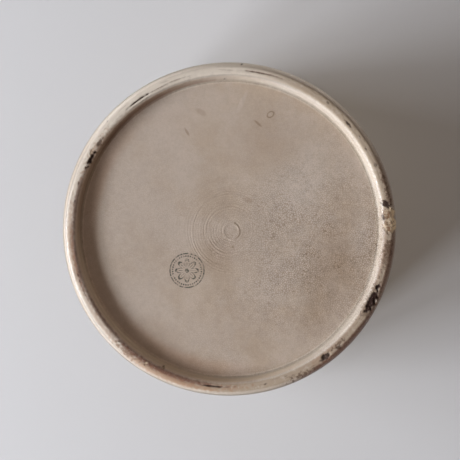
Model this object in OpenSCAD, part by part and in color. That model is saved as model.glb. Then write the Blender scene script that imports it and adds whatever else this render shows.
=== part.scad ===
// Earthenware storage pot with a lift-off lid, millimetres, +Z up.
// The origin is the centre of the foot's flat crest, which the pot stands on.
// Both pieces are turned round, so each is one outline spun about +Z.

/* [Body] */
// Height from the foot's crest to the flat top of the rim
pot_h = 112; // [90:1:150]
// Outer diameter of the wall at its widest, just above the heel
body_d = 131.4; // [110:0.2:160]
// Thickness of the wall
wall_t = 4.6; // [3.6:0.1:6.5]
// How far the wall leans in between the heel and the lip, on the radius
taper = 1.2; // [0:0.1:4]
// Thickness of the bottom
bottom_t = 6; // [4:0.5:10]
// Radius of the bend from the inner floor to the wall
bend_r = 10; // [4:1:20]

/* [Foot] */
// How far the flat crest's outer edge is set in from the widest wall, on the radius
foot_inset = 3.8; // [3:0.1:8]
// Width of the flat crest
crest_w = 1.2; // [1:0.1:4]
// Rounding of the crest's inner edge
crest_round = 2; // [0.4:0.1:2.6]
// Rounding between the crest and the heel
heel_round = 2.2; // [0.4:0.1:2.8]
// Lean from upright of the heel where it leaves that rounding, in degrees
heel_lean = 20; // [15:1:40]
// Height at which the heel's curve becomes the wall
heel_h = 20; // [12:1:30]
// Depth of the hollow underside
recess_h = 4.6; // [3.5:0.1:7]
// Lean from upright of the hollow's side, in degrees
recess_lean = 8; // [4:1:40]
// Radius of the fillet between the hollow's side and its floor
recess_fillet = 1.2; // [0.5:0.1:3]

/* [Lip] */
// Height of the rolled lip
lip_h = 7; // [4:0.5:12]
// How far the lip stands out past the wall below it
lip_out = 1.8; // [0.5:0.1:4]
// Depth of the tie groove under the lip
groove_depth = 1.4; // [0.4:0.1:2]
// Height over which the wall draws in to the tie groove
groove_h = 7; // [3:0.5:14]
// Rounding of the rim's inner edge
rim_round = 0.8; // [0.3:0.1:1]

/* [Lid] */
// How far the flange stands out past the lip
flange_over = 0.6; // [-1:0.1:3]
// Thickness of the flange
flange_t = 4.4; // [3:0.1:7]
// Width of the flat shoulder between the flange's edge and the dome
shoulder_w = 8; // [4:0.5:14]
// Height of the turned step that the dome springs from
step_h = 1.2; // [0.4:0.1:3]
// Rise of the dome above its step
dome_h = 11; // [8:0.5:22]
// Thickness of the dome
dome_t = 4.6; // [3.6:0.1:6.5]
// Gap between the locating ring and the mouth, on the radius
ring_gap = 1.2; // [0.6:0.1:2.5]
// Thickness of the locating ring
ring_t = 4; // [2.5:0.1:6]
// Depth of the locating ring below the flange
ring_h = 7; // [4:0.5:14]

/* [Knob] */
// Diameter of the knob's head
knob_d = 28; // [22:0.5:40]
// Diameter of its neck
neck_d = 15; // [10:0.5:20]
// Height of the knob above the dome's crown
knob_h = 20; // [16:0.5:30]
// Height of the head, from its widest place to its top
head_h = 7; // [4:0.5:9]

/* [Hidden] */
spin_fn = 120;
curve_steps = 10;
least_step = 0.01;
glaze_colour = [0.80, 0.74, 0.64];

// Radii of the pot
body_r = body_d / 2;
crest_r = body_r - foot_inset;
crest_in_r = crest_r - crest_w;
wall_top_r = body_r - taper;
groove_r = wall_top_r - groove_depth;
lip_r = wall_top_r + lip_out;
inner_r = body_r - wall_t;
mouth_r = wall_top_r - wall_t;

// The hollow's side runs straight between the crest's rounding and the fillet
recess_bends = crest_round + recess_fillet;
recess_side_h = recess_h - recess_bends * (1 - sin(recess_lean));
recess_floor_r = crest_in_r - recess_bends * cos(recess_lean) - recess_side_h * tan(recess_lean);

// The heel starts where it leaves its rounding, and curves up to the wall
heel_start = [crest_r + heel_round * cos(heel_lean), heel_round * (1 - sin(heel_lean))];
heel_rise = heel_h - heel_start[1];
heel_pull = heel_rise / 6;

// Heights of the pot
floor_z = recess_h + bottom_t;
lip_z = pot_h - lip_h;
groove_z = lip_z - groove_h;

// Radii of the lid, and heights above its seat on the rim
flange_r = lip_r + flange_over;
edge_round = flange_t / 2;
dome_r = flange_r - shoulder_w;
ring_r = mouth_r - ring_gap;
ring_in_r = ring_r - ring_t;
step_z = flange_t + step_h;
crown_z = step_z + dome_h;
dome_sphere_r = (pow(dome_r, 2) + pow(dome_h, 2)) / (2 * dome_h);
dome_centre_z = crown_z - dome_sphere_r;
knob_r = knob_d / 2;
neck_r = neck_d / 2;
knob_top_z = crown_z + knob_h;
head_z = knob_top_z - head_h;
neck_z = (crown_z + head_z) / 2;
knob_foot_r = neck_r * 3 / 2;

// Points along an upright ellipse's arc, from angle a to angle b
function arc(centre_r, centre_z, reach_r, reach_z, a, b) =
    [for (i = [0:curve_steps])
        let (t = a + (b - a) * i / curve_steps)
        [centre_r + reach_r * cos(t), centre_z + reach_z * sin(t)]];

// Points along a circle's arc, from angle a to angle b
function round_arc(centre_r, centre_z, radius, a, b) = arc(centre_r, centre_z, radius, radius, a, b);

// Points along a cubic curve from p to s, pulled towards q and r
function sweep(p, q, r, s) =
    [for (i = [0:curve_steps])
        let (t = i / curve_steps, u = 1 - t)
        u * u * u * p + 3 * u * u * t * q + 3 * u * t * t * r + t * t * t * s];

// Height of a sphere about the dome's centre, at radius r from the axis
function sphere_z(sphere_r, r) = dome_centre_z + sqrt(pow(sphere_r, 2) - pow(r, 2));

// Points along such a sphere, from radius a to radius b
function cap(sphere_r, a, b) =
    [for (i = [0:curve_steps])
        let (r = a + (b - a) * i / curve_steps)
        [r, sphere_z(sphere_r, r)]];

// A path without the points that repeat the one before them
function joined(path) =
    [for (i = [0:len(path) - 1])
        if (i == 0 || norm(path[i] - path[i - 1]) > least_step)
            path[i]];

// Pot outline: hollow underside, crest, heel, wall, tie groove, lip, then down inside
pot_outline = concat(
    [[0, recess_h]],
    round_arc(recess_floor_r, recess_h - recess_fillet, recess_fillet, 90, recess_lean),
    round_arc(crest_in_r, crest_round, crest_round, 180 + recess_lean, 270),
    round_arc(crest_r, heel_round, heel_round, 270, 360 - heel_lean),
    sweep(heel_start,
          heel_start + heel_pull * [sin(heel_lean), cos(heel_lean)],
          [body_r, heel_start[1] + heel_rise / 2],
          [body_r, heel_h]),
    sweep([wall_top_r, groove_z],
          [wall_top_r, groove_z + groove_h / 2],
          [groove_r, lip_z - groove_h / 2],
          [groove_r, lip_z]),
    arc(groove_r, lip_z + lip_h / 2, lip_r - groove_r, lip_h / 2, -80, 90),
    round_arc(mouth_r + rim_round, pot_h - rim_round, rim_round, 90, 180),
    [[mouth_r, groove_z]],
    round_arc(inner_r - bend_r, floor_z + bend_r, bend_r, 0, -90),
    [[0, floor_z]]);

// Lid outline from its seat: locating ring, flange, dome, knob, then the hollow underside
lid_outline = concat(
    [[ring_in_r, -ring_h], [ring_r, -ring_h], [ring_r, 0]],
    round_arc(flange_r - edge_round, edge_round, edge_round, -90, 90),
    [[dome_r, flange_t]],
    cap(dome_sphere_r, dome_r, knob_foot_r),
    sweep([knob_foot_r, sphere_z(dome_sphere_r, knob_foot_r)],
          [neck_r, crown_z],
          [neck_r, crown_z],
          [neck_r, neck_z]),
    sweep([neck_r, neck_z],
          [neck_r, (neck_z + head_z) / 2],
          [knob_r, (neck_z + head_z) / 2],
          [knob_r, head_z]),
    arc(0, head_z, knob_r, head_h, 12, 90),
    cap(dome_sphere_r - dome_t, 0, ring_in_r));

module pot_body() {
    color(glaze_colour)
        rotate_extrude($fn = spin_fn)
            polygon(joined(pot_outline));
}

module lid() {
    color(glaze_colour)
        translate([0, 0, pot_h])
            rotate_extrude($fn = spin_fn)
                polygon(joined(lid_outline));
}

pot_body();
lid();
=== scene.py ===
"""Glazed earthenware pot with a lift-off lid, standing on a pale floor.

Metres, +Z up; shapes are worked out in mm. The main camera looks straight up.
"""
import math

import bpy
import numpy as np
from mathutils import Matrix


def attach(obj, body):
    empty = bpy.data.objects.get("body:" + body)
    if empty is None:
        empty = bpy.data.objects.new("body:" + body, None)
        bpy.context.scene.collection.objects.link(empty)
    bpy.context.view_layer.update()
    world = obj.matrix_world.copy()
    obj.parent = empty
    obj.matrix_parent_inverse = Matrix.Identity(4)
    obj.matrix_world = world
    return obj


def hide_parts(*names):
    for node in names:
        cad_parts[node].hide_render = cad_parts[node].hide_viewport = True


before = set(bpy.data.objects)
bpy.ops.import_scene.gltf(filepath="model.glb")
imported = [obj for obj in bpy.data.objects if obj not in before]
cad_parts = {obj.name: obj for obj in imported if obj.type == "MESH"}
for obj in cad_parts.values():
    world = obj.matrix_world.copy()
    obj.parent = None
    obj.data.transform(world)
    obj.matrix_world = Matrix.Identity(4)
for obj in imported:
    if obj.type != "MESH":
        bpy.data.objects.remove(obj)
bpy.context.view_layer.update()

MM = 0.001
POT, LID = "pot", "lid"

# Sizes in millimetres, the same as the CAD's
POT_H = 112
BODY_R = 65.7
WALL_T = 4.6
TAPER = 1.2
FLOOR_Z = 10.6
BEND_R = 10
CREST_R = 61.9
CREST_IN_R = 60.7
CREST_ROUND = 2
HEEL_ROUND = 2.2
HEEL_LEAN = 20
HEEL_H = 20
RECESS_H = 4.6
RECESS_LEAN = 8
RECESS_FILLET = 1.2
LIP_H = 7
LIP_OUT = 1.8
GROOVE_DEPTH = 1.4
GROOVE_H = 7
RIM_ROUND = 0.8
FLANGE_R = 66.9
FLANGE_T = 4.4
DOME_R = 58.9
STEP_H = 1.2
DOME_H = 11
DOME_T = 4.6
RING_R = 58.7
RING_IN_R = 54.7
RING_H = 7
KNOB_R = 14
NECK_R = 7.5
KNOB_H = 20
HEAD_H = 7

# Derived sizes
WALL_TOP_R = BODY_R - TAPER
GROOVE_R = WALL_TOP_R - GROOVE_DEPTH
LIP_R = WALL_TOP_R + LIP_OUT
INNER_R = BODY_R - WALL_T
MOUTH_R = WALL_TOP_R - WALL_T
LIP_Z = POT_H - LIP_H
GROOVE_Z = LIP_Z - GROOVE_H
CROWN_Z = FLANGE_T + STEP_H + DOME_H
DOME_SPHERE_R = (DOME_R ** 2 + DOME_H ** 2) / (2 * DOME_H)
DOME_CENTRE_Z = CROWN_Z - DOME_SPHERE_R
HEAD_Z = CROWN_Z + KNOB_H - HEAD_H
NECK_Z = (CROWN_Z + HEAD_Z) / 2
KNOB_FOOT_R = NECK_R * 1.5

# The photograph
PHOTO_PX = 460
PX_MM = 0.385
CAMERA_MM = 490
POT_CENTRE_PX = (229.6, 229)
SENSOR_MM = 36

# How many points go round: on plain parts, on curved ones, near the foot and on it
PLAIN, CURVED, NEAR_FOOT, FOOT = 120, 240, 480, 960
# Rounding of the locating ring's corners
RING_ROUND = 0.5


# Outlines
def arc(centre_r, centre_z, reach_r, reach_z, start, end, steps):
    """Points along an upright ellipse's arc, in degrees."""
    turn = np.radians(np.linspace(start, end, steps + 1))
    return np.stack([centre_r + reach_r * np.cos(turn), centre_z + reach_z * np.sin(turn)], 1)


def bend(centre_r, centre_z, radius, start, end, steps):
    """Points along a circle's arc, in degrees."""
    return arc(centre_r, centre_z, radius, radius, start, end, steps)


def line(start, end, steps):
    """Points along a straight line."""
    part = np.linspace(0, 1, steps + 1)[:, None]
    return np.array(start) * (1 - part) + np.array(end) * part


def sweep(p, q, r, s, steps):
    """Points along a cubic curve from p to s, pulled towards q and r."""
    t = np.linspace(0, 1, steps + 1)[:, None]
    u = 1 - t
    p, q, r, s = (np.array(point, float) for point in (p, q, r, s))
    return u ** 3 * p + 3 * u * u * t * q + 3 * u * t * t * r + t ** 3 * s


def sphere_z(sphere_r, r):
    """Height of a sphere about the dome's centre, at radius r from the axis."""
    return DOME_CENTRE_Z + np.sqrt(sphere_r ** 2 - r ** 2)


def cap(sphere_r, start_r, end_r, steps):
    """Points along such a sphere, between two radii."""
    r = np.linspace(start_r, end_r, steps + 1)
    return np.stack([r, sphere_z(sphere_r, r)], 1)


def heel_curve():
    """Points from the foot's crest up the heel to the wall."""
    lean = math.radians(HEEL_LEAN)
    start_r = CREST_R + HEEL_ROUND * math.cos(lean)
    start_z = HEEL_ROUND * (1 - math.sin(lean))
    pull = (HEEL_H - start_z) / 6
    return sweep((start_r, start_z),
                 (start_r + pull * math.sin(lean), start_z + pull * math.cos(lean)),
                 (BODY_R, (HEEL_H + start_z) / 2), (BODY_R, HEEL_H), 24)


def pot_outline():
    """The pot's outline, from the middle of its underside to that of its inner floor.

    Each row has a part's name, how many points go round, and the points."""
    lean = math.radians(RECESS_LEAN)
    bends = CREST_ROUND + RECESS_FILLET
    side_h = RECESS_H - bends * (1 - math.sin(lean))
    floor_r = CREST_IN_R - bends * math.cos(lean) - side_h * math.tan(lean)
    heel = heel_curve()
    floor = [(r, RECESS_H) for r in (0, 6, 18, 52, floor_r)]
    groove = GROOVE_R, LIP_Z - 0.4
    top = WALL_TOP_R, GROOVE_Z
    return [
        ("floor", PLAIN, line(floor[0], floor[1], 24)),
        ("floor", CURVED, line(floor[1], floor[2], 60)),
        ("floor", CURVED, line(floor[2], floor[3], 30)),
        ("floor", NEAR_FOOT, line(floor[3], floor[4], 8)),
        ("foot", FOOT, bend(floor_r, RECESS_H - RECESS_FILLET, RECESS_FILLET, 90, RECESS_LEAN, 14)),
        ("foot", FOOT, bend(CREST_IN_R, CREST_ROUND, CREST_ROUND, 180 + RECESS_LEAN, 270, 8)),
        ("foot", FOOT, line((CREST_IN_R, 0), (CREST_R, 0), 7)),
        ("foot", FOOT, bend(CREST_R, HEEL_ROUND, HEEL_ROUND, 270, 360 - HEEL_LEAN, 9)),
        ("foot", FOOT, heel[:7]),
        ("wall", NEAR_FOOT, heel[6:13]),
        ("wall", CURVED, heel[12:]),
        ("wall", CURVED, line((BODY_R, HEEL_H), top, 22)),
        ("wall", CURVED, sweep(top, (WALL_TOP_R, GROOVE_Z + GROOVE_H / 2),
                               (GROOVE_R, LIP_Z - GROOVE_H / 2), groove, 10)),
        ("wall", CURVED, arc(GROOVE_R, LIP_Z + LIP_H / 2, LIP_R - GROOVE_R, LIP_H / 2, -76, 90, 18)),
        ("inside", CURVED, bend(MOUTH_R + RIM_ROUND, POT_H - RIM_ROUND, RIM_ROUND, 90, 180, 5)),
        ("inside", PLAIN, line((MOUTH_R, POT_H - 2), (MOUTH_R, GROOVE_Z), 4)),
        ("inside", PLAIN, line((MOUTH_R, GROOVE_Z), (INNER_R, FLOOR_Z + BEND_R), 14)),
        ("inside", PLAIN, bend(INNER_R - BEND_R, FLOOR_Z + BEND_R, BEND_R, 0, -90, 10)),
        ("inside", PLAIN, line((INNER_R - BEND_R, FLOOR_Z), (0, FLOOR_Z), 16)),
    ]


def lid_outline():
    """The lid's outline above its seat, from the middle of its hollow to the knob's top."""
    edge = FLANGE_T / 2
    inner_sphere_r = DOME_SPHERE_R - DOME_T
    ring_top = float(sphere_z(inner_sphere_r, RING_IN_R))
    soft = RING_ROUND
    corner = DOME_R, FLANGE_T
    step_top = DOME_R, FLANGE_T + STEP_H
    neck = NECK_R, NECK_Z
    dome_start = DOME_R - 1.2
    turn_z = (NECK_Z + HEAD_Z) / 2
    ring_z = soft - RING_H
    edge_r = FLANGE_R - edge
    return [
        ("hollow", PLAIN, cap(inner_sphere_r, 0, RING_IN_R - soft, 20)),
        ("hollow", PLAIN, line((RING_IN_R, ring_top - soft), (RING_IN_R, ring_z), 5)),
        ("hollow", PLAIN, bend(RING_IN_R + soft, ring_z, soft, 180, 270, 4)),
        ("hollow", PLAIN, bend(RING_R - soft, ring_z, soft, 270, 360, 4)),
        ("hollow", PLAIN, line((RING_R, ring_z), (RING_R, -soft), 5)),
        ("hollow", CURVED, line((RING_R + soft, 0), (edge_r, 0), 4)),
        ("top", CURVED, bend(edge_r, edge, edge, -90, 90, 16)),
        ("top", CURVED, line((edge_r, FLANGE_T), (DOME_R + soft, FLANGE_T), 6)),
        ("top", CURVED, sweep((DOME_R + soft, FLANGE_T), corner, corner, (DOME_R, FLANGE_T + 0.4), 4)),
        ("top", CURVED, sweep((DOME_R, FLANGE_T + 0.7), step_top, step_top,
                              (dome_start, sphere_z(DOME_SPHERE_R, dome_start)), 5)),
        ("top", CURVED, cap(DOME_SPHERE_R, dome_start, KNOB_FOOT_R, 34)),
        ("top", CURVED, sweep((KNOB_FOOT_R, sphere_z(DOME_SPHERE_R, KNOB_FOOT_R)),
                              (NECK_R, CROWN_Z), (NECK_R, CROWN_Z), neck, 12)),
        ("top", CURVED, sweep(neck, (NECK_R, turn_z), (KNOB_R, turn_z), (KNOB_R, HEAD_Z), 12)),
        ("top", PLAIN, arc(0, HEAD_Z, KNOB_R, HEAD_H, 12, 90, 22)),
    ]


# Marks of age on the foot ring, and some painted shade
# Each row: two angles in degrees anticlockwise in the photograph, two radii in its pixels,
# strength
TAN_CHIPS = (
    (-1.2, 4.4, 154.6, 167.4, 1), (3.6, 7.6, 154.6, 165.8, 1), (149.2, 152.2, 157, 159, 0.7),
    (237.6, 238.4, 156, 162, 0.8), (244, 245, 152, 154.5, 0.8),
)
BLACK_CHIPS = (
    (144.8, 147.4, 154.4, 157.4, 0.6), (150.2, 156.2, 152.9, 157.3, 1),
    (305.2, 309.2, 157, 162.3, 0.9), (329, 337.4, 156.2, 163.4, 1),
    (338.2, 339.8, 157.2, 161.4, 1),
)
BLACK_SPOTS = (
    (7.6, 9.1, 157, 163, 0.9), (8.8, 10.4, 154.6, 160, 0.9), (2, 3.2, 161, 163, 0.5),
    (3, 5.2, 153, 155.6, 0.7), (23, 24.2, 158, 161, 0.5), (30, 31, 157.5, 158.8, 0.7),
    (35, 36, 159, 160.2, 0.7), (40, 43, 157.5, 159.6, 0.9), (51.5, 52.6, 159, 161, 0.6),
    (85.4, 86.2, 164.3, 166, 0.9), (91.7, 92.3, 149.5, 150.6, 0.8), (138.2, 138.9, 162.5, 163.6, 0.7),
    (162.6, 163.5, 157, 158.2, 0.7), (169, 171, 157, 158.1, 0.7), (177.1, 177.9, 155.6, 156.6, 0.6),
    (196.6, 197.5, 158, 159, 0.8), (198.6, 199.5, 158, 159, 0.8), (225.1, 226.4, 157, 158.8, 0.7),
    (282.5, 283.4, 158.4, 159.8, 0.7),
    (290.5, 291.4, 157, 158, 0.7), (309.7, 310.5, 158, 159.5, 0.7), (312, 314, 159, 162.5, 0.6),
)
BROWN_STAINS = (
    (12, 20, 159.6, 163, 0.8), (3, 5.6, 154.2, 157.4, 0.9), (1.4, 3.2, 160.6, 162.8, 0.8),
    (225, 233, 159, 163.6, 0.5), (292, 300, 161.6, 165.2, 0.8), (-0.6, 0.8, 154.8, 162, 0.6),
    (293, 298, 159.5, 162, 0.5), (312, 316.5, 157, 160.4, 0.7), (345, 357.5, 156.5, 162.4, 0.7),
    (350, 357, 156.3, 162.4, 0.9), (8, 11, 156, 164, 0.6), (326, 341, 153.5, 164.5, 0.6),
)
RUST_STAINS = (
    (302, 311, 155, 163, 0.2), (143, 158, 154, 159, 0.4), (265, 275, 157, 161, 0.4),
)
# Thin lines along the crest, then bands with soft edges
BLACK_LINES = (
    (121, 129.4, 157.1, 158.6, 0.95), (260.4, 267.6, 157.5, 158.9, 0.9), (77, 83, 158.5, 159.6, 0.35),
)
BROWN_LINES = (
    (71.5, 84.8, 158.4, 159.9, 0.8), (113.8, 120, 156.8, 158.1, 0.8), (106.5, 114, 157.6, 158.9, 0.5),
    (121, 128.5, 154.2, 155.3, 0.5), (266, 272, 157.4, 158.6, 0.5), (200, 206.4, 158, 159.2, 0.7),
)
SOFT_RUST = (
    (222, 266, 159, 164.2, 0.6), (172, 205, 157.6, 162.4, 0.45), (204, 226, 158.4, 162, 0.35),
)
# Dark brown bands: stains on the heel and the right of the foot, painted shade along the crest's
# shadowed left and in the fillet at the top left
GRIME_AND_SHADE = (
    (158, 182, 154.4, 158.2, 0.75), (176, 206, 155, 159.3, 0.85), (202, 228, 154.2, 157.8, 0.8),
    (222, 264, 154.8, 159.4, 1), (112, 148, 146, 152.6, 0.5), (296, 334, 162, 169, 0.95),
    (335, 359, 161.2, 168.4, 0.75), (9, 26, 161.4, 167, 0.5),
    (96, 124, 148.4, 152, 0.3), (340, 362, 153.2, 157.4, 0.4), (300, 325, 155, 158, 0.3),
)
# Old grime up the heel: from and to, in degrees, then strength
HEEL_STAINS = ((285, 330, 0.5), (296, 372, 0.9), (350, 400, 0.5), (365, 410, 0.35))
HEEL_STAIN_MM = (3, 9)
HEEL_STAIN_FROM_Z = (0.5, 1.9)
# Where the marks begin
MARKS_FROM_R = 50
# How high they reach, and how softly they end
MARKS_TO_Z = 12
MARKS_FADE_MM = 5
CHIP_DEPTH = 0.42
CHIP_RIM = 0.9
MARK_EDGE_MM = 0.16
MARK_ROUGH_MM = 0.3
LINE_ROUGH = 0.35
TAN_CHIP_SHARE = 0.5
GRIME_AND_SHADE_EDGE_MM = 0.45
GRIME_AND_SHADE_ROUGH = 0.4
STREAKS_PX = (155.5, 163.5)
STREAKS_EDGE_PX = 1.5
STREAKS_FROM = (0.7, 1.3)
STREAK_SHARE = 0.3

# Seeded waves by name: height, seed, most waves round, most per unit along, how many
WAVES = {
    "marks": (1, 3, 240, 1.6, 40),
    "marks_fine": (1, 4, 430, 2.8, 40),
    "heel_height": (1.2, 5, 24, 0.3, 10),
    "heel_cover": (0.15, 6, 90, 0.9, 14),
    "streaks": (1, 7, 46, 2.4, 26),
    "floor": (0.12, 11, 5, 0.12, 8),
    "foot": (0.05, 21, 160, 2.5, 24),
    "chips": (0.4, 22, 200, 4, 30),
    "rubbed": (0.3, 23, 40, 1, 14),
    "wall": (0.07, 31, 6, 0.1, 8),
    "inside": (0.05, 41, 5, 0.12, 8),
    "lid_hollow": (0.04, 51, 5, 0.1, 8),
    "lid_top": (0.05, 52, 6, 0.1, 8),
}


def smooth(x):
    """0 below 0, 1 above 1, and an even rise between."""
    x = np.clip(x, 0, 1)
    return x * x * (3 - 2 * x)


def ripple(angle, along, name):
    """Smooth seeded noise round the axis and along the outline, both ways from 0."""
    height, seed, most_round, most_tilt, waves = WAVES[name]
    rng = np.random.default_rng(seed)
    total = np.zeros(np.broadcast(angle, along).shape)
    for _ in range(waves):
        around = rng.integers(1, most_round)
        tilt = rng.uniform(-most_tilt, most_tilt)
        total += np.sin(around * angle + tilt * along + rng.uniform(0, 2 * np.pi))
    return height * total / math.sqrt(waves)


def photo_place(r, z, angle):
    """Where a point shows: degrees anticlockwise, and pixels from the pot's centre."""
    r_px = r / PX_MM * CAMERA_MM / (CAMERA_MM + z)
    return np.degrees(-angle) % 360, r_px


def marks(rows, place, noise, edge=MARK_EDGE_MM):
    """How strongly the rows' marks, ovals with ragged edges, cover each point."""
    degrees, r_px = place
    cover = np.zeros_like(degrees)
    for start, end, low, high, strength in rows:
        turn = (degrees - (start + end) / 2 + 180) % 360 - 180
        across = np.radians(turn) * r_px * PX_MM
        half_across = math.radians(end - start) / 2 * (low + high) / 2 * PX_MM
        half_along = (high - low) / 2 * PX_MM
        along = (r_px - (low + high) / 2) * PX_MM
        reach = np.hypot(across / half_across, along / half_along)
        small = min(half_across, half_along)
        inside = (1.06 - reach) * small + noise * min(MARK_ROUGH_MM, 0.5 * small)
        cover = np.maximum(cover, strength * smooth(0.5 + inside / (2 * edge)))
    return cover


def heel_stain(r, z, angle, degrees):
    """How strongly old grime covers each point of the heel."""
    cover = np.zeros_like(angle)
    if r < CREST_R:
        return cover
    for start, end, strength in HEEL_STAINS:
        turn = np.abs((degrees - (start + end) / 2 + 180) % 360 - 180)
        cover = np.maximum(cover, strength * smooth(1 - turn / (end - start) * 1.6 + 0.2))
    low, high = HEEL_STAIN_MM
    height = z + ripple(angle, z, "heel_height")
    start, full = HEEL_STAIN_FROM_Z
    cover = cover * smooth((z - start) / (full - start))
    uneven = 0.85 + ripple(angle, z, "heel_cover")
    return cover * smooth((high - height) / (high - low)) * uneven


def foot_marks(r, z, angle):
    """The marks' cover at points of the foot ring, by kind."""
    place = photo_place(r, z, angle)
    degrees, r_px = place
    noise = ripple(angle, r_px, "marks")
    fine = ripple(angle, r_px, "marks_fine")
    thin = LINE_ROUGH * noise
    black = np.maximum(marks(BLACK_CHIPS, place, noise), marks(BLACK_LINES, place, thin))
    spots = marks(BLACK_SPOTS, place, noise)
    tan = marks(TAN_CHIPS, place, noise)
    brown = np.maximum(marks(BROWN_STAINS, place, 1.6 * noise + fine),
                       CHIP_RIM * 4 * tan * (1 - tan))
    brown = np.maximum(brown, marks(BROWN_LINES, place, thin))
    low, high = STREAKS_PX
    start, full = STREAKS_FROM
    streaks = smooth((ripple(angle, r_px, "streaks") - start) / (full - start))
    streaks = streaks * smooth((r_px - low) / STREAKS_EDGE_PX)
    streaks = streaks * smooth((high - r_px) / STREAKS_EDGE_PX)
    # Brown bands of stains and painted shade
    grime_and_shade = marks(GRIME_AND_SHADE, place, GRIME_AND_SHADE_ROUGH * noise, GRIME_AND_SHADE_EDGE_MM)
    rust = np.maximum(marks(RUST_STAINS, place, 1.8 * noise + 1.2 * fine),
                      marks(SOFT_RUST, place, 0.8 * noise, GRIME_AND_SHADE_EDGE_MM))
    low_down = smooth((MARKS_TO_Z - z) / MARKS_FADE_MM)
    kinds = {"tan": tan, "chip": black, "black": np.maximum(black, spots), "rust": rust,
             "brown": np.maximum(brown, STREAK_SHARE * streaks),
             "grime_and_shade": np.maximum(grime_and_shade, heel_stain(r, z, angle, degrees))}
    return {kind: low_down * cover for kind, cover in kinds.items()}


# The turner's nub in the middle of the underside, in mm, and the fine rings round it
NUB_PLACE = (0.7, 0.9)
NUB_R = 3
NUB_PROUD = 0.09
NUB_EDGE_MM = 0.34
RING_GAP_MM = 1
# Bands of those rings: height, middle radius and half width
RING_BANDS = ((0.02, 8, 6), (0.03, 15.3, 1.4))
# Where the foot's outer edge is rubbed down
WORN_EDGE = (63.1, 0.6)
WORN_EDGE_R = 0.9
WORN_EDGE_MM = 0.08


def pot_relief(part, r, z, angle):
    """How far the surface stands out from the plain outline, in mm."""
    if part == "floor":
        x, y = r * np.cos(angle) - NUB_PLACE[0], r * np.sin(angle) - NUB_PLACE[1]
        from_nub = np.hypot(x, y)
        nub = NUB_PROUD * np.exp(-((from_nub - NUB_R) / NUB_EDGE_MM) ** 2)
        to_left = 0.3 + 0.7 * smooth((3 - x) / 9)
        rings = sum(height * np.exp(-((from_nub - middle) / half) ** 2)
                    for height, middle, half in RING_BANDS)
        rings = rings * to_left * np.sin(from_nub * 2 * np.pi / RING_GAP_MM)
        sag = ripple(angle, r, "floor") * smooth(r / 20) * smooth((56 - r) / 8)
        return nub + rings + sag
    if part == "foot":
        cover = foot_marks(r, z, angle)
        worn = ripple(angle, r, "foot") * smooth((RECESS_H - z) / 2)
        chips = CHIP_DEPTH * np.maximum(cover["chip"], TAN_CHIP_SHARE * cover["tan"])
        chips = chips * (1 + ripple(angle, r, "chips"))
        from_edge = np.hypot(r - WORN_EDGE[0], z - WORN_EDGE[1])
        rubbed = WORN_EDGE_MM * np.exp(-(from_edge / WORN_EDGE_R) ** 2)
        rubbed = rubbed * (1 + ripple(angle, r, "rubbed"))
        return -np.abs(worn) - np.maximum(chips, 0) - rubbed
    if part == "wall":
        throwing = 0.05 * np.sin(z * 0.55 + 1.4 * np.sin(z * 0.11)) * smooth((z - 14) / 12)
        return (throwing + ripple(angle, z, "wall") - 0.1) * smooth((z - 3) / 8)
    return ripple(angle, z, "inside") * smooth((r - 4) / 20) - 0.03


def lid_relief(part, r, z, angle):
    """How far the lid's surface stands out from its plain outline, in mm."""
    if part == "hollow":
        return ripple(angle, r, "lid_hollow") * smooth((r - 4) / 20) - 0.02
    turning = 0.03 * np.sin(r * 1.3 + 1.2 * np.sin(r * 0.3)) * smooth((DOME_R - r) / 6)
    turning = turning * smooth((r - 14) / 6)
    return turning + ripple(angle, r, "lid_top") * smooth((r - 3) / 10) - 0.1


# Meshes
def placed(name, data):
    """A new object in the scene."""
    made = bpy.data.objects.new(name, data)
    bpy.context.scene.collection.objects.link(made)
    return made


def outline_rings(parts):
    """One row per ring: part, points round, radius, height and outward normal."""
    rows, last = [], None
    for part, count, points in parts:
        for point in points:
            if last is None or np.hypot(*(point - last)) > 0.02:
                rows.append((part, count, point))
                last = point
    path = np.array([row[2] for row in rows])
    along = np.gradient(path, axis=0)
    along /= np.hypot(along[:, 0], along[:, 1])[:, None]
    normal = np.stack([along[:, 1], -along[:, 0]], 1)
    return [(part, count, point[0], point[1], out)
            for (part, count, point), out in zip(rows, normal)]


def stitch(a, a_count, b, b_count):
    """Faces between the ring that starts at vertex a and the next one, at b."""
    if a_count == 1:
        return [(a, b + (i + 1) % b_count, b + i) for i in range(b_count)]
    if b_count == 1:
        return [(a + i, a + (i + 1) % a_count, b) for i in range(a_count)]
    if a_count == b_count:
        return [(a + i, a + (i + 1) % a_count, b + (i + 1) % b_count, b + i)
                for i in range(a_count)]
    # One ring has twice as many points as the other
    finer, coarser = (a, b) if a_count > b_count else (b, a)
    many, few = max(a_count, b_count), min(a_count, b_count)
    faces = []
    for i in range(few):
        first, middle, last = finer + 2 * i, finer + 2 * i + 1, finer + (2 * i + 2) % many
        near, far = coarser + i, coarser + (i + 1) % few
        faces += [(first, middle, near), (middle, far, near), (middle, last, far)]
    return faces if a_count > b_count else [face[::-1] for face in faces]


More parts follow.
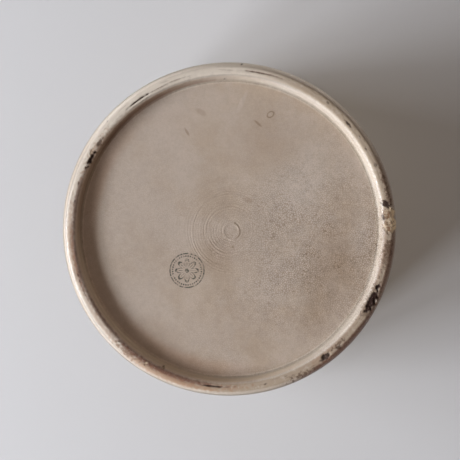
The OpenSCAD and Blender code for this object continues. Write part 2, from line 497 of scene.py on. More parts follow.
def turned_piece(name, parts, relief, lift, attributes):
    """A piece turned about the axis, with numbers kept at its vertices."""
    places, numbers, faces = [], {key: [] for key in attributes}, []
    start, before = 0, None
    for part, count, r, z, out in outline_rings(parts):
        count = 1 if r < 0.01 else count
        angle = np.arange(count) * 2 * np.pi / count
        rise = relief(part, r, z, angle) if relief and count > 1 else np.zeros(count)
        far, high = r + out[0] * rise, z + lift + out[1] * rise
        places.append(np.stack([far * np.cos(angle), far * np.sin(angle), high], 1))
        marked = part == "foot" or (part == "floor" and r > MARKS_FROM_R)
        marked = marked or (part == "wall" and z < HEEL_H)
        found = foot_marks(r, z, angle) if marked else {}
        for key in attributes:
            numbers[key].append(found.get(key, np.zeros(count)))
        if before:
            faces += stitch(*before, start, count)
        before = (start, count)
        start += count
    mesh = bpy.data.meshes.new(name)
    mesh.from_pydata((np.concatenate(places) * MM).tolist(), [], faces)
    mesh.shade_smooth()
    for key in attributes:
        layer = mesh.attributes.new(key, "FLOAT", "POINT")
        layer.data.foreach_set("value", np.concatenate(numbers[key]).astype(np.float32))
    return placed(name, mesh)


# Colours, each given as it looks on screen, from 0 to 255
def srgb(red, green, blue):
    """The shader's linear values for a screen colour."""
    linear = []
    for value in (red, green, blue):
        part = value / 255
        linear.append(part / 12.92 if part <= 0.04045 else ((part + 0.055) / 1.055) ** 2.4)
    return (*linear, 1)


GLAZE = srgb(203, 192, 180)
GLAZE_WARM = srgb(196, 181, 164)
GLAZE_PALE = srgb(210, 202, 192)
CREAM = srgb(224, 211, 188)
CREAM_WARM = srgb(212, 194, 166)
CREAM_STAIN = srgb(150, 120, 88)
FLOOR_GLAZE = srgb(188, 173, 160)
FLOOR_WARM = srgb(178, 160, 142)
FLOOR_GREY = srgb(171, 158, 147)
PALE = srgb(196, 184, 174)
DARK = srgb(152, 130, 109)
# Painted warm shade on the hollow's side at the left
PAINTED_SIDE_SHADE = srgb(170, 144, 122)
# Painted light along the hollow's side at the lower left
PAINTED_SIDE_LIGHT = srgb(224, 204, 180)
# Painted light on the heel's upper side
PAINTED_HEEL_LIGHT = srgb(232, 222, 208)
CRACK = srgb(120, 98, 74)
CREST = srgb(168, 150, 130)
CREST_PALE = srgb(208, 197, 183)
BLACK = srgb(46, 30, 26)
BROWN = srgb(92, 66, 48)
RUST = srgb(158, 116, 84)
GRIME_AND_SHADE_BROWN = srgb(114, 78, 62)
TAN = srgb(184, 164, 140)
TAN_DARK = srgb(128, 98, 72)
# Painted light on the outer part of the chip
PAINTED_CHIP_LIGHT = srgb(250, 226, 190)
INK = srgb(46, 52, 44)
SPECK = srgb(80, 62, 48)
# These two multiply what is under them. The first is painted shade.
PAINTED_SHADE_MULTIPLIER = (0.02, 0, 0, 1)
# Painted warm bounce light in the hollow's shadow
SHADE_TINT = (1.12, 0.86, 0.7, 1)

# Noise: how many patches per mm, detail, roughness
PITS = (1.8, 4, 0.6)
# The same and a shift, then the ends of a ramp and, if not 0 and 1, its results there
PATCHES = {
    "glaze_warm": (0.035, 4, 0.6, (0, 0, 0), 0.3, 0.7, 0, 0.7),
    "glaze_pale": (0.06, 3, 0.5, (31, 7, 3), 0.5, 0.72, 0, 0.35),
    "grain": (0.9, 4, 0.7, (5, 50, 9), 0.3, 0.7, 0.88, 1.09),
    "mottle": (0.28, 4, 0.6, (40, 5, 19), 0.3, 0.7, 0.9, 1.08),
    "cream_warm": (0.03, 3, 0.5, (7, 2, 1), 0.35, 0.65),
    "cream_stained": (0.04, 3, 0.55, (60, 4, 8), 0.42, 0.62),
    "rubbed": (0.45, 5, 0.7, (1, 70, 2), 0.54, 0.6),
    "floor_warm": (0.05, 5, 0.62, (12, 0, 0), 0.38, 0.66),
    "crazed": (0.07, 3, 0.5, (3, 3, 80), 0.35, 0.62, 0.5, 1),
    "lid_crazed": (0.07, 3, 0.5, (3, 3, 80), 0.35, 0.62, 0.05, 0.3),
    "crest_worn": (0.5, 5, 0.65, (0, 0, 0), 0.34, 0.5, 0.55, 0.95),
    "broken": (1.6, 5, 0.7, (0, 9, 9), 0.32, 0.52, 0.35, 1),
    "finely_broken": (3.2, 3, 0.6, (8, 9, 1), 0.3, 0.45, 0.6, 1),
    "biscuit": (0.9, 3, 0.6, (2, 2, 7), 0.4, 0.56),
    "chip_edge": (1.1, 3, 0.6, (0, 0, 0), 0.36, 0.44),
    "ink_worn": (0.9, 5, 0.7, (0, 0, 0), 0.36, 0.56),
    "scuff_gap": (0.5, 1, 0.5, (3, 8, 2), 0.36, 0.5),
}

# Nets of cracks: cells per mm, and a line's width as a share of a cell
FINE_NET = (1.35, 0.16)
LID_FINE_NET = (1.35, 0.13)
WIDE_NET = (0.24, 0.04)
WIDE_NET_STAIN = (0.24, 0.2)
WIDE_NET_SHARES = (0.15, 0.6)
NET_BEND = (0.7, 0.5)
STAIN_ALONG_NET = 0.24
STAIN_VEIL = 0.14

# Iron specks
SPECKS_PER_MM = 0.12
SPECKS_SHIFT = (9, 2, 4)
SPECK_EDGE = (0.036, 0.06, 1, 0)
SPECKS_CHOSEN = (0.6, 0.65)
SPECK_SHARE = 0.8

# Surface of the underside, of the wall and lid, and of bare biscuit
UNDER_ROUGH, WALL_ROUGH, BARE_ROUGH = 0.3, 0.2, 0.7
UNDER_COAT, WALL_COAT, COAT_ROUGH = 0.25, 0.6, 0.12
GLAZE_IOR = 1.5
GLOSS = 0.5
BUMP_MM = 0.05
CRACKS_BUMP = 0.25
LID_PITS_BUMP = 0.3

# Darkening in the groove, along the lid's step and round the knob's neck, and rubbed edges
GROOVE_DARKENING, STEP_DARKENING, NECK_DARKENING = 0.5, 0.7, 0.45
WEAR_SHARE = 0.8
WEAR_EDGE_MM = (0.5, 0.2)
WEAR_RISE_MM = 0.5


class Nodes:
    """Short ways to write a node tree."""

    def __init__(self, owner):
        self.owner = owner
        owner.use_nodes = True
        self.tree = owner.node_tree
        self.tree.nodes.clear()

    def put(self, socket, value):
        """Links a socket to another node's output, or sets it to a plain value."""
        if isinstance(value, bpy.types.NodeSocket):
            self.tree.links.new(value, socket)
        else:
            socket.default_value = value

    def node(self, kind, inputs=None, **settings):
        """A new node with its settings and its inputs."""
        made = self.tree.nodes.new("ShaderNode" + kind)
        for key, value in settings.items():
            setattr(made, key, value)
        for key, value in (inputs or {}).items():
            self.put(made.inputs[key], value)
        return made

    def either(self, amount, first, second):
        """A mix of two shaders."""
        return self.node("MixShader", {0: amount, 1: first.outputs[0], 2: second.outputs[0]})


class Graph(Nodes):
    """The same for a material, with places in mm."""

    def __init__(self, name):
        super().__init__(bpy.data.materials.new(name))
        self.place = self.scaled(self.node("TexCoord").outputs["Object"], 1 / MM)
        self.x, self.y, self.z = self.node("SeparateXYZ", {0: self.place}).outputs

    def scaled(self, vector, scale):
        return self.node("VectorMath", {0: vector, "Scale": scale}, operation="SCALE").outputs[0]

    def shifted(self, shift):
        return self.node("Mapping", {"Vector": self.place, "Location": shift}).outputs[0]

    def math(self, operation, first, second=0, clamp=False):
        inputs = {0: first, 1: second}
        return self.node("Math", inputs, operation=operation, use_clamp=clamp).outputs[0]

    def times(self, *numbers):
        """The numbers' product."""
        product = numbers[0]
        for number in numbers[1:]:
            product = self.math("MULTIPLY", product, number)
        return product

    def most(self, *numbers):
        """The largest of the numbers."""
        largest = numbers[0]
        for number in numbers[1:]:
            largest = self.math("MAXIMUM", largest, number)
        return largest

    def off(self, value, target):
        """How far a number is from a target."""
        return self.math("ABSOLUTE", self.math("SUBTRACT", value, target))

    def length(self, x, y):
        return self.math("SQRT", self.math("ADD", self.times(x, x), self.times(y, y)))

    def ramp(self, value, low, high, to_low=0, to_high=1):
        """Smooth change from to_low to to_high as the value goes from low to high."""
        inputs = dict(enumerate((value, low, high, to_low, to_high)))
        return self.node("MapRange", inputs, interpolation_type="SMOOTHSTEP").outputs[0]

    def share(self, amount, at_none, at_full):
        """A number that goes from at_none to at_full as the amount goes from 0 to 1."""
        return self.ramp(amount, 0, 1, at_none, at_full)

    def between(self, value, start, full, still, end):
        """1 from full to still, with a smooth rise from start and a smooth fall to end."""
        return self.times(self.ramp(value, start, full), self.ramp(value, end, still))

    def noise(self, per_mm, detail, rough, shift=(0, 0, 0)):
        """Noise between about 0.25 and 0.75, in the piece's own place."""
        inputs = {"Vector": self.shifted(shift), "Scale": per_mm, "Detail": detail,
                  "Roughness": rough}
        return self.node("TexNoise", inputs).outputs[0]

    def patches(self, name):
        """The table's patches of that name."""
        per_mm, detail, rough, shift, *ends = PATCHES[name]
        return self.ramp(self.noise(per_mm, detail, rough, shift), *ends)

    def away(self, centre=(0, 0)):
        """Distance from an upright line at a centre, or from the axis."""
        return self.length(self.math("SUBTRACT", self.x, centre[0]),
                           self.math("SUBTRACT", self.y, centre[1]))

    def along(self, degrees):
        """Distance from the axis towards a direction of the photograph."""
        turn = math.radians(degrees)
        return self.math("ADD", self.times(self.x, math.cos(turn)),
                         self.times(self.y, -math.sin(turn)))

    def cracks(self, per_mm, width):
        """1 on a net of cracks, 0 between them."""
        scale, share = NET_BEND
        bend = self.node("TexNoise", {"Vector": self.place, "Scale": per_mm * scale, "Detail": 1})
        bent = self.scaled(bend.outputs[1], share / per_mm)
        moved = self.node("VectorMath", {0: self.place, 1: bent}, operation="ADD").outputs[0]
        net = self.node("TexVoronoi", {"Vector": moved, "Scale": per_mm},
                        feature="DISTANCE_TO_EDGE")
        return self.ramp(net.outputs["Distance"], 0, width, 1, 0)

    def mix(self, amount, first, second, blend="MIX"):
        """Mixes two colours; at 1 the second replaces, or multiplies, the first."""
        inputs = {0: amount, 6: first, 7: second}
        return self.node("Mix", inputs, data_type="RGBA", blend_type=blend).outputs[2]

    def mix_two(self, amount, first, second):
        return self.node("Mix", {0: amount, 2: first, 3: second}, data_type="FLOAT").outputs[0]

    def grey(self, number):
        return self.node("CombineColor", {0: number, 1: number, 2: number}).outputs[0]

    def kept(self, name):
        """A number kept at the mesh's vertices."""
        return self.node("Attribute", attribute_name=name).outputs["Fac"]

    def spot(self, x, y, half_x, half_y, turn, edge):
        """1 inside an oval patch of the floor, seen along +Z, with a soft edge."""
        inputs = {"Vector": self.place, "Location": (x, y, 0),
                  "Rotation": (0, 0, math.radians(turn)), "Scale": (half_x, half_y, 1e6)}
        moved = self.node("Mapping", inputs, vector_type="TEXTURE").outputs[0]
        length = self.node("VectorMath", {0: moved}, operation="LENGTH").outputs[1]
        return self.ramp(length, 1 - edge, 1 + edge, 1, 0)

    def surface(self, shader):
        """Ends in a shader."""
        self.node("OutputMaterial", {"Surface": shader.outputs[0]})
        return self.owner

    def glazed(self, colour, roughness, height, coat, gloss=GLOSS):
        """Ends in a glazed surface."""
        bump = self.node("Bump", {"Strength": 1, "Distance": BUMP_MM * MM, "Height": height})
        return self.surface(self.node("BsdfPrincipled", {
            "Base Color": colour, "Roughness": roughness, "IOR": GLAZE_IOR,
            "Coat Weight": coat, "Coat Roughness": COAT_ROUGH, "Specular IOR Level": gloss,
            "Normal": bump.outputs[0]}))


# Glaze that the pot and the lid share
def grain(g):
    """The glaze's fine unevenness, a number near 1."""
    return g.times(g.patches("grain"), g.patches("mottle"))


def specks(g):
    """A few small dark specks in the glaze."""
    made = g.node("TexVoronoi", {"Vector": g.shifted(SPECKS_SHIFT), "Scale": SPECKS_PER_MM})
    chosen = g.node("SeparateColor", {0: made.outputs["Color"]}).outputs[0]
    return g.times(g.ramp(made.outputs["Distance"], *SPECK_EDGE), g.ramp(chosen, *SPECKS_CHOSEN))


def cream_glaze(g):
    """The wall's and the lid's glaze: cream, with a wide net of stained cracks."""
    cream = g.mix(g.patches("cream_warm"), CREAM, CREAM_WARM)
    stained = g.patches("cream_stained")
    near_cracks = g.times(g.cracks(*WIDE_NET_STAIN), stained, STAIN_ALONG_NET)
    cream = g.mix(near_cracks, cream, CREAM_STAIN)
    cream = g.mix(g.times(stained, STAIN_VEIL), cream, CREAM_STAIN)
    net = g.times(g.cracks(*WIDE_NET), g.share(stained, *WIDE_NET_SHARES))
    return g.mix(net, cream, CRACK)


def edge_wear(g, r, edge_r, low_z):
    """Where the glaze is rubbed off the outermost edge of a lip or flange."""
    start, full = WEAR_EDGE_MM
    return g.times(g.ramp(r, edge_r - start, edge_r - full),
                   g.ramp(g.z, low_z, low_z + WEAR_RISE_MM), g.patches("rubbed"))


def darken(g, colour, factor):
    """Multiplies a colour by a number."""
    return g.mix(1, colour, g.grey(factor), "MULTIPLY")


# The floor of the hollow underside
# Soft clouds and scuffs: place in the photograph's pixels, half sizes in mm, turn,
# strength, colour
CLOUDS = (
    (284, 196, 13, 15, 20, 0.62, PALE), (235, 110, 16, 7, 0, 0.2, PALE),
    (330, 164, 12, 13, 40, 0.35, PALE), (337, 266, 10, 14, 18, 0.5, DARK),
    (272, 256, 13, 16, 0, 0.35, PALE), (368, 236, 6, 18, 4, 0.5, PALE),
    (318, 322, 10, 6, -40, 0.3, DARK), (218, 252, 8, 7, 0, 0.3, DARK),
    (372, 290, 3.2, 4.2, 20, 0.35, RUST), (170, 344, 12, 5, 45, 0.3, DARK),
    (248, 200, 2, 1.1, 20, 0.28, CRACK), (201, 112, 2.2, 1, 30, 0.22, CRACK),
    (187, 132, 1.6, 0.45, 60, 0.5, CRACK), (258, 123.5, 1.9, 0.42, 42, 0.6, CRACK),
    (233, 247, 0.5, 0.5, 0, 0.5, CRACK), (235, 223, 0.45, 0.45, 0, 0.4, CRACK),
    (242, 102, 4.4, 0.9, -65, 0.36, PALE), (225, 222, 1.4, 1, 0, 0.2, PALE),
    (240, 330, 18, 8, 0, 0.15, DARK), (264, 140, 13, 11, 0, 0.3, DARK),
)
# Up to this half width a row is a scuff, with a harder edge than a cloud's
SCUFF_MM = 5
SCUFF_EDGE, CLOUD_EDGE = 0.4, 0.8
# The floor is cooler towards the left
COOL_TO_LEFT = (20, -50, 0, 0.55)

# Turned rings in the floor's colour, and the line beside the nub
RINGS_PER_MM = 1.6
RINGS_CENTRE = (0.3, 0.2)
RINGS_TINT = (0.35, 0.65, 0.93, 1.05)
RINGS_MIDDLE = (-3, 0)
RINGS_FADE = (6, 24, 1, 0)
RINGS_BUMP = 1.4
NUB_LINE = (0.1, 0.34, 0.45, 0)
NUB_LINE_FROM_X = (1.5, 3.3)

# A small open ring of wear
SCUFF_RING_PX = (270.5, 114.5)
SCUFF_RING_MM = (1.7, 1.2)
SCUFF_RING_TURN = -35
SCUFF_RING_HOLE = 0.66
SCUFF_RING_EDGES = (0.16, 0.25)
SCUFF_RING_SHARE = 0.7

# The printed rosette: its place in the photograph's pixels, then radii and line edges in mm
MARK_PX = (187, 270.5)
MARK_R = 6.6
PETALS = 8
PETAL_R = (1.2, 3.1)
PETAL_POWER = 0.6
PETAL_LINE = (0.26, 0.56, 1, 0)
VEIN = (0.975, 0.995)
VEIN_R = (1.2, 1.5, 3, 3.4)
HEART_EDGE = (0.75, 0.95, 1, 0)
BEADS = 40
BEAD_RING_R = 5.6
BEAD_EDGE = (0.22, 0.42, 1, 0)
RIM_LINE = (0.14, 0.36, 1, 0)
INK_SHARE = 0.88


def floor_place(px_x, px_y):
    """Millimetres on the hollow's floor under a pixel of the photograph."""
    scale = PX_MM * (CAMERA_MM + RECESS_H) / CAMERA_MM
    return (px_x - POT_CENTRE_PX[0]) * scale, (px_y - POT_CENTRE_PX[1]) * scale


def rosette(g):
    """A small printed rosette in a ring of beads: 1 where there is ink."""
    centre = floor_place(*MARK_PX)
    r = g.away(centre)
    turn = g.math("ARCTAN2", g.math("SUBTRACT", g.y, centre[1]),
                  g.math("SUBTRACT", g.x, centre[0]))
    wave = g.math("ABSOLUTE", g.math("COSINE", g.times(turn, PETALS / 2)))
    petal_r = g.math("ADD", g.times(g.math("POWER", wave, PETAL_POWER), PETAL_R[1]), PETAL_R[0])
    petals = g.ramp(g.off(r, petal_r), *PETAL_LINE)
    vein = g.times(g.ramp(wave, *VEIN), g.between(r, *VEIN_R))
    step = g.math("FRACT", g.times(turn, BEADS / (2 * math.pi)))
    step = g.times(g.math("SUBTRACT", step, 0.5), 2 * math.pi * BEAD_RING_R / BEADS)
    from_bead = g.length(step, g.math("SUBTRACT", r, BEAD_RING_R))
    ink = g.most(petals, vein, g.ramp(r, *HEART_EDGE), g.ramp(from_bead, *BEAD_EDGE),
                 g.ramp(g.off(r, MARK_R), *RIM_LINE))
    return g.times(ink, g.patches("ink_worn"))


def open_ring(g):
    """A small scuff, round with a gap: 1 on its line."""
    centre = floor_place(*SCUFF_RING_PX)
    hole = [half * SCUFF_RING_HOLE for half in SCUFF_RING_MM]
    outer, inner = [g.spot(*centre, *half, SCUFF_RING_TURN, edge)
                    for half, edge in zip((SCUFF_RING_MM, hole), SCUFF_RING_EDGES)]
    return g.times(g.math("SUBTRACT", outer, inner, clamp=True), g.patches("scuff_gap"))


def turned_rings(g):
    """Noise that runs round a centre, and how near the middle a point is."""
    inputs = {"W": g.away(RINGS_CENTRE), "Scale": RINGS_PER_MM, "Detail": 2}
    made = g.node("TexNoise", inputs, noise_dimensions="1D")
    return made.outputs[0], g.ramp(g.away(RINGS_MIDDLE), *RINGS_FADE)


def hollow_floor(g, rings, near_middle):
    """The floor's colour: clouds, scuffs, turned rings, the nub's line."""
    floor = g.mix(g.patches("floor_warm"), FLOOR_GLAZE, FLOOR_WARM)
    floor = g.mix(g.ramp(g.x, *COOL_TO_LEFT), floor, FLOOR_GREY)
    for px_x, px_y, half_x, half_y, turn, strength, tint in CLOUDS:
        edge = CLOUD_EDGE if half_x > SCUFF_MM else SCUFF_EDGE
        patch = g.spot(*floor_place(px_x, px_y), half_x, half_y, turn, edge)
        floor = g.mix(g.times(patch, strength), floor, tint)
    floor = darken(g, floor, g.mix_two(near_middle, 1, g.ramp(rings, *RINGS_TINT)))
    from_nub = g.off(g.away(NUB_PLACE), NUB_R + 0.3)
    nub_line = g.times(g.ramp(from_nub, *NUB_LINE), g.ramp(g.x, *NUB_LINE_FROM_X))
    floor = g.mix(nub_line, floor, CRACK)
    return g.mix(g.times(open_ring(g), SCUFF_RING_SHARE), floor, CRACK)


# The pot's zones: the radii where each starts, is full, is still full and has ended
ZONES_R = {
    "shade": (49.5, 54, 60.3, 60.9),
    "corner": (57, 57.35, 57.9, 58.6),
    "inner_round": (58.7, 59.4, 60.9, 61.4),
    "outer_round": (61.8, 62.5, 63, 63.7),
    "heel": (62.4, 63.2, 70, 71),
}
UNDERSIDE_Z = (8, 7)
WALL_Z = (3, 8)
HOLLOW_R = (57.4, 56.4)
SIDE_Z = (0.5, 1.4, 4.3, 4.6)
SIDE_R = (61.5, 60.5)
CREST_Z = (0.5, 0.12)
INNER_EDGE_Z = (1.7, 1)
INNER_EDGE_R = (61, 60.4)

# Tints of painted light and shade: zone, a direction in the photograph, the distances towards it
# that the share changes between, the two shares, colour, and how it is laid
ZONE_TINTS = (
    ("shade", 205, (5, 40), (0, 0.45), SHADE_TINT, "MULTIPLY"),
    ("side", 150, (25, 52), (0, 0.85), PAINTED_SIDE_SHADE, "MIX"),
    ("side", 240, (15, 50), (0, 0.8), PAINTED_SIDE_LIGHT, "MIX"),
    ("corner", 50, (-55, -40), (0.06, 0.34), PAINTED_SHADE_MULTIPLIER, "MULTIPLY"),
    ("outer_round", 190, (38, 58), (0, 0.42), PAINTED_SHADE_MULTIPLIER, "MULTIPLY"),
    ("inner_round", 92, (46, 56), (0, 0.25), PAINTED_SHADE_MULTIPLIER, "MULTIPLY"),
    ("heel", 90, (25, 50), (0, 0.75), PAINTED_HEEL_LIGHT, "MIX"),
)

# The crazing is stronger towards the right and along a band across the middle
CRAZED_SIDE = -24
CRAZED_TO_SIDE = (-20, 34, 0.2, 0.95)
BAND_SIDE = 80
CRAZED_IN_BAND = (0, 45, 1, 0.3)
# The grain is weaker at the floor's left, off the band, on the foot and on the wall
CALM_LEFT = (34, -15, 0.2, 0.62)
CALM_OFF_BAND = (12, 42, 0, 0.6)
CALM_FOOT = (4.58, 4.5, 0, 0.7)
CALM_WALL = 0.8

PALE_CREST_SIDE = 158
PALE_CREST_MM = (-10, 25)
CHIP_EDGE_R = (61.6, 63.2, 0, 0.9)
# How bare of glaze and how dull these zones and marks are
CREST_BARE, BLACK_BARE, EDGE_BARE = 0.8, 0.4, 0.75
CORNER_DULL = 0.8
DULL_SHARE = 0.25
PITS_UNDER = (0.25, 0.8)
PITS_SIDE = (1, 0.2)
PITS_CALM = (0.2, 0.6, 1, 0.5)


def pot_zones(g, r):
    """The pot's zones by name, each 1 inside and 0 outside."""
    under = g.ramp(g.z, *UNDERSIDE_Z)
    zones = {name: g.times(g.between(r, *radii), under)
             for name, radii in ZONES_R.items()}
    zones["under"] = under
    zones["wall"] = g.ramp(g.z, *WALL_Z)
    zones["hollow"] = g.times(g.ramp(r, *HOLLOW_R), under)
    zones["side"] = g.times(g.between(g.z, *SIDE_Z), g.ramp(r, *SIDE_R))
    zones["crest"] = g.ramp(g.z, *CREST_Z)
    zones["inner_edge"] = g.times(g.ramp(g.z, *INNER_EDGE_Z), g.ramp(r, *INNER_EDGE_R))
    return zones


def pot_glaze(g, zones, floor, crazed, calm):
    """The pot's colours without its marks."""
    colour = g.mix(g.patches("glaze_warm"), GLAZE, GLAZE_WARM)
    colour = g.mix(g.patches("glaze_pale"), colour, GLAZE_PALE)
    colour = g.mix(zones["wall"], colour, cream_glaze(g))
    colour = g.mix(zones["hollow"], colour, floor)
    colour = g.mix(crazed, colour, CRACK)
    colour = darken(g, colour, g.mix_two(calm, grain(g), 1))
    spotted = g.times(specks(g), g.share(zones["hollow"], SPECK_SHARE, 0))
    return g.mix(spotted, colour, SPECK)


def tint_zones(g, colour, zones):
    """Lays the zones' tints of painted light and shade, and gives back what each zone's last one
    covers.
    """
    covers = {}
    for zone, degrees, reach, shares, tint, blend in ZONE_TINTS:
        covers[zone] = g.times(zones[zone], g.ramp(g.along(degrees), *reach, *shares))
        colour = g.mix(covers[zone], colour, tint, blend)
    return colour, covers


def lay_marks(g, colour, zones, r):
    """The worn crest, the stains, painted shade and chips that the mesh keeps, the chips' painted
    light, and the print.
    """
    paler = g.ramp(g.along(PALE_CREST_SIDE), *PALE_CREST_MM)
    crest_worn = g.times(zones["crest"], g.patches("crest_worn"))
    colour = g.mix(crest_worn, colour, g.mix(paler, CREST, CREST_PALE))
    broken = g.patches("broken")
    even = g.mix_two(0.5, broken, 1)
    biscuit = g.mix(g.patches("biscuit"), TAN_DARK, TAN)
    # The grime rows hold stains, and painted shade on the crest's shadowed left and in the top left
    # corner
    rows = (("grime_and_shade", GRIME_AND_SHADE_BROWN, even), ("rust", RUST, even), ("brown", BROWN, broken),
            ("tan", biscuit, 1), ("black", BLACK, g.patches("finely_broken")))
    for name, tint, part in rows:
        colour = g.mix(g.times(g.kept(name), part), colour, tint)
    # On the chip's outer part: brown patches and painted light
    chip_edge = g.times(g.kept("tan"), g.ramp(r, *CHIP_EDGE_R))
    colour = g.mix(chip_edge, colour, g.mix(g.patches("chip_edge"), BROWN, PAINTED_CHIP_LIGHT))
    return g.mix(g.times(rosette(g), zones["under"], INK_SHARE), colour, INK)


def pot_bumps(g, zones, rings, cracks, calm):
    """Fine relief: the turned rings, the cracks and small pits."""
    even_side = g.share(zones["side"], *PITS_SIDE)
    pits = g.times(g.noise(*PITS), g.share(zones["under"], *PITS_UNDER), even_side,
                   g.ramp(calm, *PITS_CALM))
    bumps = g.math("SUBTRACT", g.times(rings, RINGS_BUMP), g.times(cracks, CRACKS_BUMP))
    return g.times(g.math("ADD", bumps, pits), even_side)


def pot_material():
    """The pot's glaze and marks, with painted light and shade on its foot."""
    g = Graph("pot_glaze_aged")
    r = g.away()
    zones = pot_zones(g, r)
    rings, near_middle = turned_rings(g)
    off_band = g.math("ABSOLUTE", g.along(BAND_SIDE))
    cracks = g.cracks(*FINE_NET)
    crazed = g.times(cracks, g.patches("crazed"),
                     g.ramp(g.along(CRAZED_SIDE), *CRAZED_TO_SIDE), g.ramp(off_band, *CRAZED_IN_BAND))
    calm = g.most(g.times(zones["hollow"], g.ramp(g.x, *CALM_LEFT)),
                  g.times(zones["hollow"], g.ramp(off_band, *CALM_OFF_BAND)),
                  g.ramp(g.z, *CALM_FOOT), g.times(zones["wall"], CALM_WALL))
    colour = pot_glaze(g, zones, hollow_floor(g, rings, near_middle), crazed, calm)
    colour, covers = tint_zones(g, colour, zones)
    colour = lay_marks(g, colour, zones, r)
    # Darker in the groove under the lip
    groove = g.times(g.between(g.z, GROOVE_Z, LIP_Z - 3, LIP_Z - 0.5, LIP_Z + 2),
                     g.ramp(r, GROOVE_R - 1.5, GROOVE_R - 1), GROOVE_DARKENING)
    colour = g.mix(groove, colour, CREAM_STAIN)
    rubbed = edge_wear(g, r, LIP_R, LIP_Z)
    colour = g.mix(g.times(rubbed, WEAR_SHARE), colour, TAN)

    edges = g.times(g.most(zones["corner"], zones["inner_edge"]), EDGE_BARE)
    bare = g.most(g.times(zones["crest"], CREST_BARE), g.kept("tan"),
                  g.times(g.kept("black"), BLACK_BARE), edges, rubbed, covers["outer_round"])
    glazed = g.share(zones["wall"], UNDER_ROUGH, WALL_ROUGH)
    dull = g.most(g.kept("black"), g.times(zones["corner"], CORNER_DULL))
    shine = g.share(dull, 1, DULL_SHARE)
    coat = g.times(shine, g.share(zones["wall"], UNDER_COAT, WALL_COAT))
    bumps = pot_bumps(g, zones, g.times(rings, near_middle), cracks, calm)
    return g.glazed(colour, g.share(bare, glazed, BARE_ROUGH), bumps, coat,
                    g.times(shine, GLOSS))


def lid_material():
    """The lid's glaze, like the wall's, darker along its step and round the knob's neck."""
    g = Graph("lid_glaze_aged")
    r = g.away()
    cracks = g.cracks(*LID_FINE_NET)
    colour = g.mix(g.times(cracks, g.patches("lid_crazed")), cream_glaze(g), CRACK)
    colour = darken(g, colour, g.mix_two(CALM_WALL, grain(g), 1))
    colour = g.mix(g.times(specks(g), SPECK_SHARE), colour, SPECK)
    flat_z = POT_H + FLANGE_T
    step = g.times(g.ramp(g.off(r, DOME_R + 0.3), 0.3, 1.4, 1, 0),
                   g.ramp(g.z, flat_z - 0.4, flat_z - 0.2))
    neck = g.between(g.z, POT_H + CROWN_Z - 2, POT_H + CROWN_Z + 2.5,
                     POT_H + NECK_Z, POT_H + HEAD_Z - 1)
    step_and_neck_darkening = g.most(g.times(step, STEP_DARKENING), g.times(neck, NECK_DARKENING))
    colour = g.mix(step_and_neck_darkening, colour, CREAM_STAIN)
    rubbed = edge_wear(g, r, FLANGE_R, POT_H + 0.8)
    colour = g.mix(g.times(rubbed, WEAR_SHARE), colour, TAN)
    bumps = g.math("SUBTRACT", g.times(g.noise(*PITS), LID_PITS_BUMP),
                   g.times(cracks, CRACKS_BUMP))
    return g.glazed(colour, g.share(rubbed, WALL_ROUGH, BARE_ROUGH), bumps, WALL_COAT)


# The object
def build_object():
    """Both pieces, each in place of its CAD solid."""
    kept = ("tan", "black", "brown", "rust", "grime_and_shade")
    rows = (
        ("pot_turned", POT, "pot_body", "pot_glaze", pot_outline(), pot_relief, 0, kept,
         pot_material()),
        ("lid_turned", LID, "lid", "lid_glaze", lid_outline(), lid_relief, POT_H, (),
         lid_material()),
    )
    for name, body, node, slot, outline, relief, lift, attributes, material in rows:
        piece = turned_piece(name, outline, relief, lift, attributes)
        piece.data.materials.append(material)
        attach(piece, body)
        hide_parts(node)


# Stage, lamps and camera
# The floor, and the cloth that the camera sees beyond the pot: half width, height,
# whether it faces up, colour
BACKDROP = srgb(232, 230, 226)
SHEETS = (("floor", 12, 0, True, srgb(226, 222, 216)),
          ("cloth", 0.16, 0.099, False, srgb(205, 205, 207)))
FLOOR_FADE_MM = (350, 1000)

# The window, below the pot here: each pane's middle and width in the photograph's
# degrees, then watts for the colour and for the gloss
WINDOW_PANES = (("pane_near", 200.5, 12, 10.5, 16), ("pane_far", 187.6, 10.6, 11, 12.5),
                ("pane_dim", 173.5, 17, 6.5, 8), ("pane_edge", 218, 12, 11.2, 3))
WINDOW_ELEVATION = -22.6
WINDOW_DISTANCE = 1.5
WINDOW_HEIGHT = 0.33
WINDOW_COLOUR = (0.97, 1, 1.05)
ROOM_COLOUR = (1.1, 0.95, 0.84, 1)
ROOM_STRENGTH = 0.2

# The studio's lamps above: degrees, elevation, size in metres, watts
STUDIO_LAMPS = (("key", -60, 36, 0.8, 16.5), ("fill_back", 50, 32, 0.9, 11.5),
                ("fill_left", 165, 38, 0.8, 9))
STUDIO_DISTANCE = 1.5
STUDIO_AIM = (0, 0, 0.08)
STUDIO_GLOSS = 0.34

# The flags: two heights in mm, the shares of the light that pass below (then at the upper
# side) and above. They keep the window's light off the wall, and the studio's off the heel.
FLAGS = (
    ("flag_window", 5, 16, 0.75, 0.8, 0), ("flag_window_gloss", 0.4, 1.8, 0.3, 0.3, 0),
    ("flag_studio", 7, 22, 0.06, 0.82, 1), ("flag_studio_gloss", 14, 36, 0, 0, 1),
)
FLAG_UPPER_SIDE = 115
FLAG_UPPER_MM = (0, 60)
FLAG_SIDES = 120
FLAG_OFF_HEEL = (0.7, 0.3)
FLAG_TOP = ((67.6, 40), (67.6, 320))


def one_sided(name, colour):
    """A matt surface that only shows from its front, and far off takes the backdrop's colour."""
    g = Graph(name)
    matt = g.node("BsdfDiffuse", {"Color": colour})
    far = g.node("Emission", {"Color": BACKDROP})
    fade = g.either(g.ramp(g.away(), *FLOOR_FADE_MM), matt, far)
    behind = g.node("NewGeometry").outputs["Backfacing"]
    return g.surface(g.either(behind, fade, g.node("BsdfTransparent")))


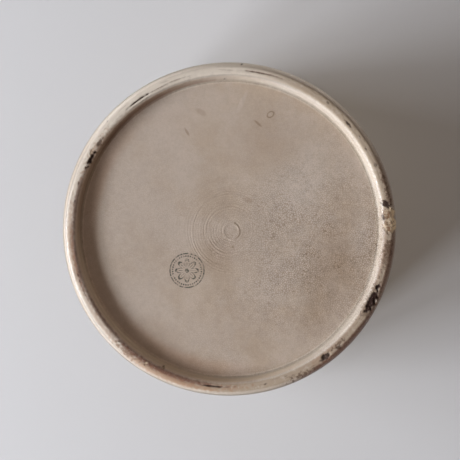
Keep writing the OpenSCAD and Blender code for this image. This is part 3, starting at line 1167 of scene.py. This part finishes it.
def stage_sheet(name, half, z, faces_up, colour):
    """A flat square of the stage."""
    corners = [(-half, -half, z), (half, -half, z), (half, half, z), (-half, half, z)]
    mesh = bpy.data.meshes.new(name)
    mesh.from_pydata(corners, [], [(0, 1, 2, 3) if faces_up else (3, 2, 1, 0)])
    mesh.materials.append(one_sided(name, colour))
    sheet = placed(name, mesh)
    for ray in ("shadow", "diffuse", "glossy"):
        setattr(sheet, "visible_" + ray, False)


def flag(name, low_mm, high_mm, pass_low, pass_low_upper, pass_high):
    """A thin sleeve close round the object that only shades it, with a smooth change between
    the shares that pass low and high. Low down, the photograph's upper side has its own."""
    g = Graph(name)
    low_share = g.ramp(g.along(FLAG_UPPER_SIDE), *FLAG_UPPER_MM, pass_low, pass_low_upper)
    share = g.ramp(g.z, low_mm, high_mm, low_share, pass_high)
    outline = np.concatenate([heel_curve() + FLAG_OFF_HEEL, FLAG_TOP])
    made = turned_piece(name, [("flag", FLAG_SIDES, outline)], None, 0, ())
    made.data.materials.append(g.surface(g.node("BsdfTransparent", {0: g.grey(share)})))
    for ray in ("camera", "diffuse", "glossy", "transmission", "volume_scatter"):
        setattr(made, "visible_" + ray, False)
    return made


def all_but(chosen, flags):
    """Where a lamp's shadows come from: all but the other lamps' flags."""
    group = bpy.data.collections.new("past_" + chosen.name)
    for other in flags:
        if other is not chosen:
            group.objects.link(other)
    for row in group.collection_objects:
        row.light_linking.link_state = "EXCLUDE"
    return group


def lamp(name, degrees, elevation, distance, width, height, power, past, glossy,
         aim=(0, 0, 0), colour=(1, 1, 1)):
    """A soft rectangular lamp, aimed at a point; degrees run from +X towards +Y.

    It lights either the glaze's colour or its gloss, since each has its own flags."""
    data = bpy.data.lights.new(name, "AREA")
    data.shape = "RECTANGLE"
    data.size, data.size_y, data.energy = width, height, power
    data.color = colour
    data.cycles.use_multiple_importance_sampling = False
    made = placed(name, data)
    a, e = math.radians(degrees), math.radians(elevation)
    away = np.array([math.cos(a) * math.cos(e), math.sin(a) * math.cos(e), math.sin(e)])
    level = np.array([-math.sin(a), math.cos(a), 0])
    made.location = away * distance + np.array(aim)
    rows = np.stack([level, np.cross(away, level), away], 1)
    made.rotation_euler = Matrix(rows.tolist()).to_euler()
    made.visible_camera = False
    made.visible_diffuse = not glossy
    made.visible_glossy = glossy
    made.light_linking.blocker_collection = past


def build_lamps():
    """All lamps, each once for the colour and once for the gloss."""
    flags = [flag(*row) for row in FLAGS]
    past = [all_but(chosen, flags) for chosen in flags]
    for glossy, kind in enumerate(("", "_gloss")):
        for name, degrees, width, *powers in WINDOW_PANES:
            lamp(name + kind, -degrees, WINDOW_ELEVATION, WINDOW_DISTANCE,
                 WINDOW_DISTANCE * math.radians(width), WINDOW_HEIGHT, powers[glossy],
                 past[glossy], bool(glossy), colour=WINDOW_COLOUR)
        for name, degrees, elevation, size, power in STUDIO_LAMPS:
            lamp(name + kind, degrees, elevation, STUDIO_DISTANCE, size, size,
                 power * (STUDIO_GLOSS if glossy else 1), past[2 + glossy], bool(glossy),
                 STUDIO_AIM)


def build_world():
    """An even room light, and the backdrop's colour for a camera."""
    world = bpy.data.worlds.new("plain_world")
    bpy.context.scene.world = world
    n = Nodes(world)
    world.cycles.sampling_method = "NONE"
    room = n.node("Background", {"Color": ROOM_COLOUR, "Strength": ROOM_STRENGTH})
    seen = n.node("Background", {"Color": BACKDROP, "Strength": 1})
    either = n.either(n.node("LightPath").outputs["Is Camera Ray"], room, seen)
    n.node("OutputWorld", {"Surface": either.outputs[0]})


def build_camera():
    """The photograph's camera, below the pot and looking straight up."""
    data = bpy.data.cameras.new("photo_camera")
    data.sensor_width = SENSOR_MM
    data.lens = SENSOR_MM * CAMERA_MM / (PHOTO_PX * PX_MM)
    camera = placed("photo_camera", data)
    scene = bpy.context.scene
    off_x, off_y = [(PHOTO_PX / 2 - centre) * PX_MM for centre in POT_CENTRE_PX]
    camera.location = (off_x * MM, off_y * MM, -CAMERA_MM * MM)
    camera.rotation_euler = (math.pi, 0, 0)
    scene.camera = camera
    scene.view_settings.view_transform = "Standard"


build_object()
for sheet_row in SHEETS:
    stage_sheet(*sheet_row)
build_lamps()
build_world()
build_camera()
